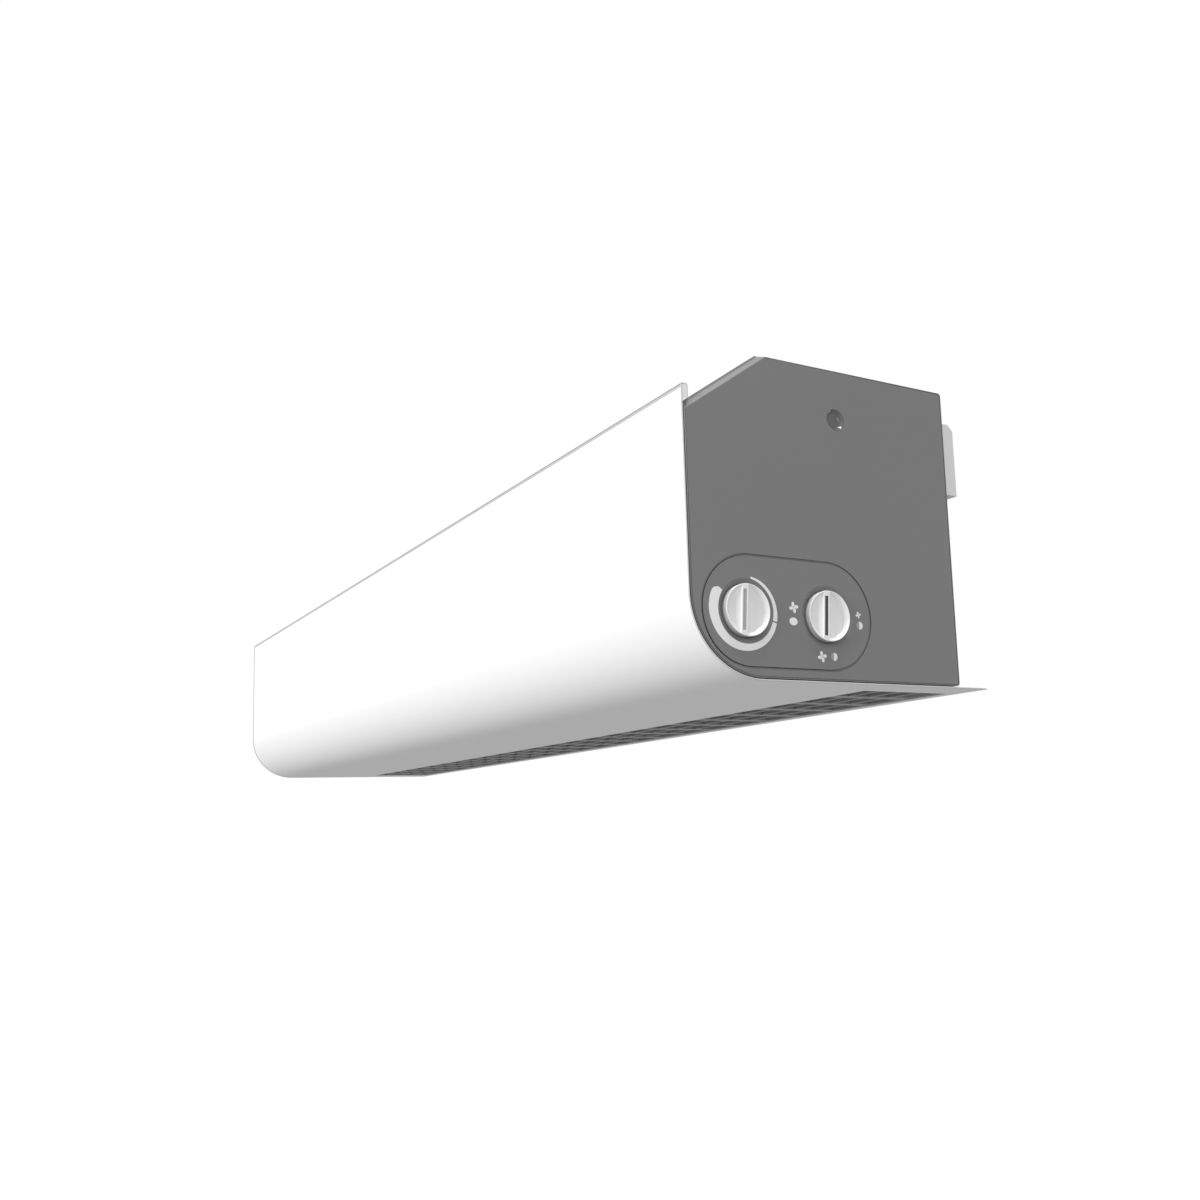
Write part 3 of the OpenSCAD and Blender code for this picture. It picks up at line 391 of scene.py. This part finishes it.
plate = add_block("end_cap_right", (end_x - rim_width, plate_front, plate_low),
                  (end_x, plate_back, plate_top))
bpy.ops.object.mode_set(mode="EDIT")
bpy.ops.mesh.select_all(action="SELECT")
bpy.ops.mesh.bisect(plane_co=slope_at, plane_no=outward, use_fill=True, clear_outer=True)
pick(plate, "EDGE", lambda p: near(p.y, plate_front) and near(p.z, plate_low))
bpy.ops.mesh.bevel(offset=front_round, segments=20, profile=0.5)
for corner in (plate_top, plate_low):
    pick(plate, "EDGE", lambda p: near(p.y, plate_back) and near(p.z, corner))
    bpy.ops.mesh.bevel(offset=back_round, segments=5, profile=0.5)
pick(plate, "FACE", lambda p: near(p.x, end_x))
bpy.ops.mesh.inset(thickness=lip)
bpy.ops.mesh.inset(thickness=draft, depth=-groove_depth)
bpy.ops.mesh.inset(thickness=groove)
bpy.ops.mesh.inset(thickness=draft, depth=groove_depth)
pick(plate, "FACE", lambda p: near(p.x, end_x - rim_width))
bpy.ops.mesh.inset(thickness=rim_wall)
bpy.ops.mesh.extrude_region_move(TRANSFORM_OT_translate={"value": (rim_width - face_wall, 0, 0)})
bpy.ops.mesh.select_all(action="SELECT")
bpy.ops.mesh.normals_make_consistent(inside=False)
bpy.ops.object.mode_set(mode="OBJECT")
slope_length = (slope_head - slope_foot).length
slope_turn = along.yz.angle_signed(Vector((1, 0)))
bevel_cut = add_block("bevel_cut", (end_x - bevel_depth, -overrun, -slope_lip),
                      (end_x + bevel_depth, slope_length + overrun, 2 * past))
bpy.ops.object.mode_set(mode="EDIT")
pick(bevel_cut, "VERT", lambda p: p.x > end_x and p.z < 0)
bpy.ops.transform.translate(value=(0, 0, -2 * bevel_width))
bpy.ops.mesh.select_all(action="SELECT")
bpy.ops.transform.rotate(value=-slope_turn, orient_axis="X", center_override=(0, 0, 0))
bpy.ops.transform.translate(value=slope_at)
bpy.ops.object.mode_set(mode="OBJECT")
work(plate, bevel_cut)
work(plate, turn_solid("boss", well_at, [(boss_end, boss_radius), (boss_top, boss_radius)], 48), "UNION")
well_outline = [(head_seat, head_radius), (well_step, head_radius), (well_step, well_radius),
                (end_x + past, well_radius)]
work(plate, turn_solid("well", well_at, well_outline, 48))
work(plate, turn_solid("screw_hole", well_at, [(boss_end - past, screw_radius), (end_x, screw_radius)], 32))

# The left plate is the right one mirrored, before the opening for the control panel is cut
left_plate = bpy.data.objects.new("end_cap_left", plate.data.copy())
bpy.context.scene.collection.objects.link(left_plate)
bpy.context.view_layer.objects.active = left_plate
left_plate.select_set(True)
bpy.ops.object.mode_set(mode="EDIT")
bpy.ops.mesh.select_all(action="SELECT")
bpy.ops.transform.resize(value=(-1, 1, 1), center_override=(0, 0, 0))
bpy.ops.mesh.normals_make_consistent(inside=False)
bpy.ops.object.mode_set(mode="OBJECT")
bpy.ops.object.select_all(action="DESELECT")

for name, depth, seam in (("panel_opening", 5 * mm, 0.3 * mm), ("panel_recess", 0.9 * mm, 1.3 * mm)):
    opening = stadium(name, end_x - depth, end_x + past, panel_at, panel_length + 2 * seam,
                      panel_height + 2 * seam)
    work(plate, opening)
grained_plastic = finish("grained_plastic", (0.19, 0.19, 0.193), 0.5)
give_grain(grained_plastic, 1600, relief=0.05 * mm, gloss=0.08)
give_grain(grained_plastic, 12, shade=0.015)
for piece, side in ((plate, "right"), (left_plate, "left")):
    ease_edges(piece, width=0.12 * mm)
    fit(piece, grained_plastic, "casing", f"end_plate_{side}")
plug_plastic = finish("plug_plastic", (0.15, 0.15, 0.153), 0.16)
give_grain(plug_plastic, 1600, relief=0.02 * mm, gloss=0.1)
for name, side in (("right", 1), ("left", -1)):
    outline = [(side * (end_x + depth * mm), radius * mm) for depth, radius in plug_outline]
    plug = turn_solid(f"screw_plug_{name}", well_at, outline, 48)
    bpy.ops.object.shade_smooth_by_angle(angle=radians(50))
    bpy.ops.object.select_all(action="DESELECT")
    plug.data.materials.append(plug_plastic)
    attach(plug, "casing")
screw_cap = give_grain(finish("screw_cap", (0.2, 0.2, 0.2), 0.4), 600, relief=0.02 * mm, gloss=0.2)
wear(screw_cap, "end_plate_screws")


# Control panel
# A moulding of the same dark plastic that fills the opening in the right end plate. A sloping well leads down
# to a cup behind each knob, in which the knob turns.
thermostat, selector = (-183.5 * mm, -114.1 * mm), (-126 * mm, -114.1 * mm)
cup_base, cup_floor, cup_head = end_x - 11 * mm, end_x - 9 * mm, end_x - 1.5 * mm
cup_outside, cup_inside, spindle_hole = 17.1 * mm, 15.3 * mm, 5.2 * mm
dish_foot, dish_ease = end_x - 1.8 * mm, 0.3 * mm
dish_small, dish_large, dish_mouth = 16 * mm, 18.0 * mm, 18.5 * mm
panel = stadium("control_plate", end_x - face_wall, end_x, panel_at, panel_length, panel_height)
for at in (thermostat, selector):
    work(panel, turn_solid("cup", at, [(cup_base, cup_outside), (cup_head, cup_outside)]), "UNION")
dish = [(cup_floor, cup_inside), (dish_foot, cup_inside), (dish_foot + dish_ease, dish_small),
        (end_x - dish_ease, dish_large), (end_x, dish_mouth), (end_x + past, dish_mouth + past)]
neck = [(cup_base - past, spindle_hole), (cup_floor + past, spindle_hole)]
for at in (thermostat, selector):
    work(panel, turn_solid("dish", at, dish, 96))
    work(panel, turn_solid("neck", at, neck, 48))
ease_edges(panel, width=0.55 * mm)
fit(panel, grained_plastic, "casing", "control_panel")


# Knobs
# Two equal mouldings, 30 mm across, in light silver grey: a disc whose two finger hollows leave a grip bar
# with a pointer groove along its crest, a little to one side of the middle and turned by a few degrees.
# The bore underneath is pushed on the spindle of the switch.
knob_low, knob_top = end_x - 8.5 * mm, end_x + 2.5 * mm
knob_radius, knob_edge, skirt_start = 15 * mm, 14.5 * mm, 14.8 * mm
foot_chamfer, rim_start, rim_middle = 0.5 * mm, knob_top - 0.6 * mm, (knob_top - 0.2 * mm, 14.85 * mm)
hollow_floor, hollow_reach, hollow_fall, hollow_round = knob_top - 1.5 * mm, 17 * mm, 1 * mm, 3.2 * mm
hollow_wall = [(knob_top - 4 * mm, 10.4 * mm), (knob_top + 4 * mm, 18.4 * mm)]
bar_half, bar_offset, bar_turn = 1.6 * mm, -2.4 * mm, radians(4)
groove_floor, groove_half, groove_down, groove_up = knob_top - 0.3 * mm, 1.3 * mm, 11.8 * mm, 11.6 * mm
bore_radius, bore_end = 3.05 * mm, knob_top - 5 * mm


# Gives the faces of a piece whose points all pass a test a material of their own
def paint_faces(piece, material, test):
    bpy.context.view_layer.objects.active = piece
    piece.select_set(True)
    piece.data.materials.append(material)
    bpy.ops.object.mode_set(mode="EDIT")
    pick(piece, "FACE", test)
    piece.active_material_index = len(piece.data.materials) - 1
    bpy.ops.object.material_slot_assign()
    bpy.ops.object.mode_set(mode="OBJECT")
    bpy.ops.object.select_all(action="DESELECT")


silver_plastic = finish("silver_plastic", (0.8, 0.8, 0.8), 0.3)
give_grain(silver_plastic, 900, relief=0.02 * mm, gloss=0.15)
# The sides of the knobs, beyond the edge of their faces, are a darker grey than the faces
knob_side_grey = finish("knob_side_grey", (0.45, 0.45, 0.45), 0.4)
give_grain(knob_side_grey, 900, relief=0.02 * mm, gloss=0.15)
# The groove floor is a dark pointer line on the selector, and painted shade in grey on the thermostat
for name, at, pointer_and_shade_grey in (("thermostat", thermostat, 0.4), ("selector", selector, 0.06)):
    disc = [(knob_low, knob_edge), (knob_low + foot_chamfer, knob_radius), (rim_start, knob_radius),
            rim_middle, (knob_top, knob_edge)]
    dial = turn_solid(f"{name}_dial", at, disc, 96)
    bar = at[0] + bar_offset
    for side in (-1, 1):
        inner, outer = bar + side * bar_half, at[0] + side * hollow_reach
        hollow = add_block("hollow", (hollow_floor, min(inner, outer), at[1] - hollow_reach),
                           (knob_top + 3 * past, max(inner, outer), at[1] + hollow_reach))
        bpy.ops.object.mode_set(mode="EDIT")
        pick(hollow, "VERT", lambda p: near(p.x, hollow_floor) and near(p.y, outer))
        bpy.ops.transform.translate(value=(-hollow_fall, 0, 0))
        pick(hollow, "EDGE", lambda p: p.x < hollow_floor + close)
        bpy.ops.mesh.bevel(offset=hollow_round, segments=8, profile=0.5)
        bpy.ops.object.mode_set(mode="OBJECT")
        work(hollow, turn_solid("wall", at, hollow_wall, 96), "INTERSECT")
        work(dial, hollow)
    groove_block = add_block("groove", (groove_floor, bar - groove_half, at[1] - groove_down),
                             (knob_top + past, bar + groove_half, at[1] + groove_up))
    work(dial, groove_block)
    work(dial, turn_solid("bore", at, [(knob_low - past, bore_radius), (bore_end, bore_radius)], 32))
    bpy.context.view_layer.objects.active = dial
    bpy.ops.object.mode_set(mode="EDIT")
    bpy.ops.mesh.select_all(action="SELECT")
    bpy.ops.transform.rotate(value=bar_turn, orient_axis="X", center_override=(end_x, *at))
    bpy.ops.object.mode_set(mode="OBJECT")
    ease_edges(dial, width=0.3 * mm)
    fit(dial, silver_plastic, f"{name}_knob", f"{name}_knob")
    # Groove floor paint: dark pointer ink on the selector, painted shade on the thermostat
    pointer_and_shade = give_grain(finish(f"{name}_pointer", (pointer_and_shade_grey,) * 3, 0.5), 900, gloss=0.1, shade=0.05)
    paint_faces(dial, knob_side_grey, lambda p: (p.yz - Vector(at)).length > skirt_start)
    paint_faces(dial, pointer_and_shade, lambda p: near(p.x, groove_floor))


# Printed scale and signs
# White ink on the panel: a band that widens with the heat round the thermostat, and a fan with a dot or a
# half-moon beside each position of the selector. Each is a film of ink, a tenth of a millimetre high.
ink_foot, ink_top = end_x - 0.05 * mm, end_x + 0.1 * mm
# Widths and places in these tables are in millimetres, and the turns of the band in degrees
scale_start, scale_step, scale_inner, first_strip = 146, 4, 18.7 * mm, 0.2 * mm
scale_widths = ((0, 3.4), (3, 5.2), (8, 6.0), (34, 6.1), (124, 4.0), (214, 2.6), (292, 1.1))
fan_signs = ((-150.3, -110.3, 1.2), (-131.4, -137.8, 1.2), (-102.9, -111.8, 0.75))
low_heat_at, low_heat_radius = (-150.9 * mm, -118.4 * mm), 2.3 * mm
heat_signs, heat_radius, heat_split = ((-122.7, -137.5), (-102.3, -118.1)), 2.4 * mm, 0.2
white_ink = give_grain(finish("white_ink", (0.8, 0.8, 0.8), 0.5), 2500, shade=0.04, gloss=0.1)


# Gives a flat shape on the panel the height of its ink, and fixes it to the casing
def ink(piece, material=white_ink):
    bpy.ops.object.mode_set(mode="EDIT")
    bpy.ops.mesh.select_all(action="SELECT")
    bpy.ops.mesh.extrude_region_move(TRANSFORM_OT_translate={"value": (ink_top - ink_foot, 0, 0)})
    bpy.ops.mesh.select_all(action="SELECT")
    bpy.ops.mesh.normals_make_consistent(inside=False)
    bpy.ops.object.mode_set(mode="OBJECT")
    bpy.ops.object.select_all(action="DESELECT")
    piece.data.materials.append(material)
    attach(piece, "casing")


# The width of the band after so many degrees, on a straight line between the rows of the table
def scale_width(turned):
    for (a, wide), (b, slim) in zip(scale_widths, scale_widths[1:]):
        if turned <= b:
            return (wide + (slim - wide) * (turned - a) / (b - a)) * mm


# A place on the panel, by its angle and its distance from a knob's middle
def around(at, angle, radius):
    return (ink_foot, at[0] + radius * cos(radians(angle)), at[1] + radius * sin(radians(angle)))


for name, start, end in (("scale_wide", 0, 197), ("scale_narrow", 200, 292)):
    first = thermostat[0] + scale_inner + scale_width(start) / 2
    bpy.ops.mesh.primitive_plane_add(size=1, location=(ink_foot, first, thermostat[1]),
                                     rotation=(0, radians(90), 0))
    band = bpy.context.active_object
    band.name = name
    band.scale = (first_strip, scale_width(start), 1)
    bpy.ops.object.transform_apply(location=True, rotation=True, scale=True)
    bpy.ops.object.mode_set(mode="EDIT")
    bpy.ops.mesh.select_all(action="SELECT")
    bpy.ops.transform.rotate(value=-radians(scale_start + start), orient_axis="X",
                             center_override=(ink_foot, *thermostat))
    middle = scale_inner + scale_width(start) / 2
    before = Vector(around(thermostat, scale_start + start - 90, middle))
    after = Vector(around(thermostat, scale_start + start + 90, middle))
    pick(band, "EDGE", lambda p: (p - after).length < (p - before).length)
    turned = start
    while turned < end:
        step = min(scale_step, end - turned)
        bpy.ops.mesh.extrude_region_move()
        bpy.ops.transform.rotate(value=-radians(step), orient_axis="X",
                                 center_override=(ink_foot, *thermostat))
        share = scale_width(turned + step) / scale_width(turned)
        turned += step
        bpy.ops.transform.resize(value=(share,) * 3,
                                 center_override=around(thermostat, scale_start + turned, scale_inner))
    ink(band)


# A flat disc of ink, not yet raised
def add_disc(name, at, radius):
    bpy.ops.mesh.primitive_circle_add(vertices=24, radius=radius, fill_type="NGON", location=(ink_foot, *at),
                                      rotation=(0, radians(90), 0))
    disc = bpy.context.active_object
    disc.name = name
    bpy.ops.object.transform_apply(location=True, rotation=True, scale=True)
    return disc


for number, (y, z, blade) in enumerate(fan_signs):
    middle = (y * mm, z * mm)
    blade = blade * mm
    fan_sign = add_disc(f"fan_sign_{number + 1}", (middle[0] + 1.25 * blade, middle[1] + 0.45 * blade), blade)
    bpy.ops.object.mode_set(mode="EDIT")
    bpy.ops.mesh.select_all(action="SELECT")
    bpy.ops.transform.resize(value=(1, 1.2, 0.85), center_override=(ink_foot, *middle))
    for quarter in range(3):
        bpy.ops.mesh.duplicate()
        bpy.ops.transform.rotate(value=radians(90), orient_axis="X", center_override=(ink_foot, *middle))
    bpy.ops.object.mode_set(mode="OBJECT")
    ink(fan_sign)
    ink(add_disc(f"fan_hub_{number + 1}", middle, 0.6 * blade))

low_heat = add_disc("low_heat_sign", low_heat_at, low_heat_radius)
bpy.ops.object.mode_set(mode="EDIT")
bpy.ops.mesh.select_all(action="SELECT")
bpy.ops.transform.resize(value=(1, 1.25, 1), center_override=(ink_foot, *low_heat_at))
bpy.ops.object.mode_set(mode="OBJECT")
ink(low_heat)
thin_ink = give_grain(finish("thin_ink", (0.32, 0.32, 0.32), 0.5), 2500, shade=0.04, gloss=0.1)
for number, (y, z) in enumerate(heat_signs):
    for name, material, dark_half in (("heat_sign", white_ink, False), ("heat_shade", thin_ink, True)):
        heat_sign = add_disc(f"{name}_{number + 1}", (y * mm, z * mm), heat_radius)
        bpy.ops.object.mode_set(mode="EDIT")
        bpy.ops.mesh.select_all(action="SELECT")
        bpy.ops.mesh.bisect(plane_co=(0, (y - heat_split) * mm, 0), plane_no=(0, 1, 0),
                            clear_inner=not dark_half, clear_outer=dark_half)
        bpy.ops.object.mode_set(mode="OBJECT")
        ink(heat_sign, material)


# Front cover
# One sheet of white powder coated steel, 1 mm thick: a folded lip at the top, the front, a large round, and
# the underside with the opening for the air. It slides on from the front and wraps both end plates.
cover_half, cover_front, lip_back = end_x, -221 * mm, -216.3 * mm
cover_top, cover_low, cover_back = 12 * mm, -153 * mm, -0.5 * mm
lip_drop, corner_round, fold_round, sheet_wall = 8 * mm, 47.5 * mm, 1.5 * mm, 1 * mm
opening_half, opening_front, opening_back = 478 * mm, -78 * mm, -7 * mm
fold_top, fold_shadow, far_edge, edge_band = cover_top - fold_round, 1.6 * mm, 3 * mm, 0.42 * mm
hem_inset, hem_short, hem_clear = 0.9 * mm, 0.1 * mm, 0.3 * mm


# Bends the sheet on from its picked edge by a quarter turn about a line along X
def fold(y, z, steps):
    bpy.ops.mesh.spin(steps=steps, angle=-radians(90), center=(0, y, z), axis=(1, 0, 0))


# Draws the sheet on straight from its picked edge
def run(y, z):
    bpy.ops.mesh.extrude_region_move(TRANSFORM_OT_translate={"value": (0, y, z)})


lip_length = lip_drop - fold_round
bpy.ops.mesh.primitive_plane_add(size=1, location=(0, lip_back, fold_top - lip_length / 2),
                                 rotation=(radians(90), 0, 0))
cover = bpy.context.active_object
cover.name = "cover"
cover.scale = (2 * cover_half, lip_length, 1)
bpy.ops.object.transform_apply(location=True, rotation=True, scale=True)
bpy.ops.object.mode_set(mode="EDIT")
pick(cover, "EDGE", lambda p: near(p.z, fold_top))
fold(lip_back - fold_round, fold_top, 4)
run(cover_front - lip_back + 2 * fold_round, 0)
fold(cover_front + fold_round, fold_top, 4)
run(0, cover_low + corner_round - fold_top)
fold(cover_front + corner_round, cover_low + corner_round, 24)
run(opening_front - cover_front - corner_round, 0)
run(opening_back - opening_front, 0)
run(cover_back - opening_back, 0)
for x in (-cover_half + far_edge, -opening_half, opening_half):
    bpy.ops.mesh.select_all(action="SELECT")
    bpy.ops.mesh.bisect(plane_co=(x, 0, 0), plane_no=(1, 0, 0))
bpy.ops.mesh.select_all(action="SELECT")
bpy.ops.mesh.bisect(plane_co=(0, 0, fold_top - fold_shadow), plane_no=(0, 0, 1))
pick(cover, "FACE", lambda p: near(p.z, cover_low) and abs(p.x) < opening_half + close
     and opening_front - close < p.y < opening_back + close)
bpy.ops.mesh.delete(type="FACE")
bpy.ops.mesh.select_all(action="SELECT")
bpy.ops.mesh.normals_make_consistent(inside=False)
bpy.ops.object.mode_set(mode="OBJECT")
bpy.ops.object.modifier_add(type="SOLIDIFY")
cover.modifiers[-1].thickness = sheet_wall
cover.modifiers[-1].offset = -1
bpy.ops.object.modifier_apply(modifier=cover.modifiers[-1].name)
ease_edges(cover, width=0.4 * mm)
fit(cover, white_paint, "front_cover", "front_cover")

# Painted shade: the cut ends, the fold, the far end and the strip under the fold are painted grey as shade
painted_edge_shade = give_grain(finish("painted_edge_shade", (0.58, 0.58, 0.58), 0.45), 1200, shade=0.03, gloss=0.1)
painted_fold_shade = give_grain(finish("painted_fold_shade", (0.22, 0.22, 0.22), 0.45), 1200, shade=0.03, gloss=0.1)
painted_strip_shade = give_grain(finish("painted_strip_shade", (0.48, 0.48, 0.48), 0.45), 1200, shade=0.03, gloss=0.1)
paint_faces(cover, painted_edge_shade, lambda p: abs(p.x) > cover_half - edge_band)
paint_faces(cover, painted_fold_shade, lambda p: p.z > fold_top - close and p.y < cover_front + fold_round + close)
paint_faces(cover, painted_fold_shade, lambda p: p.x < -cover_half + far_edge + close)
paint_faces(cover, painted_strip_shade, lambda p: p.y < cover_front + close
            and fold_top - fold_shadow - close < p.z < fold_top + close)

# The ends of the folded lip are filled, and joined to the cover
for side in (-1, 1):
    ends = sorted((side * (cover_half - sheet_wall), side * (cover_half - hem_short)))
    add_block("hem_end", (ends[0], cover_front + hem_inset, 0),
              (ends[1], lip_back - hem_inset, cover_top - hem_inset))
    bpy.ops.object.mode_set(mode="EDIT")
    bpy.ops.mesh.select_all(action="SELECT")
    bpy.ops.mesh.bisect(plane_co=slope_at + outward * hem_clear, plane_no=outward, use_fill=True,
                        clear_inner=True)
    bpy.ops.object.mode_set(mode="OBJECT")
    cover.select_set(True)
    bpy.context.view_layer.objects.active = cover
    bpy.ops.object.join()
    bpy.ops.object.select_all(action="DESELECT")


# Outlet grille
# A lattice in grey powder coat that drops into the opening from above and lies on the underside with its
# flange: three long bars, and a broad cross bar every 39 mm.
lattice = node_copy("outlet_grille", "outlet_lattice")
ease_edges(lattice, width=0.4 * mm)
grille_grey = give_grain(finish("grille_grey", (0.3, 0.3, 0.305), 0.45), 900, relief=0.04 * mm, gloss=0.1)
fit(lattice, grille_grey, "front_cover", "outlet_grille")
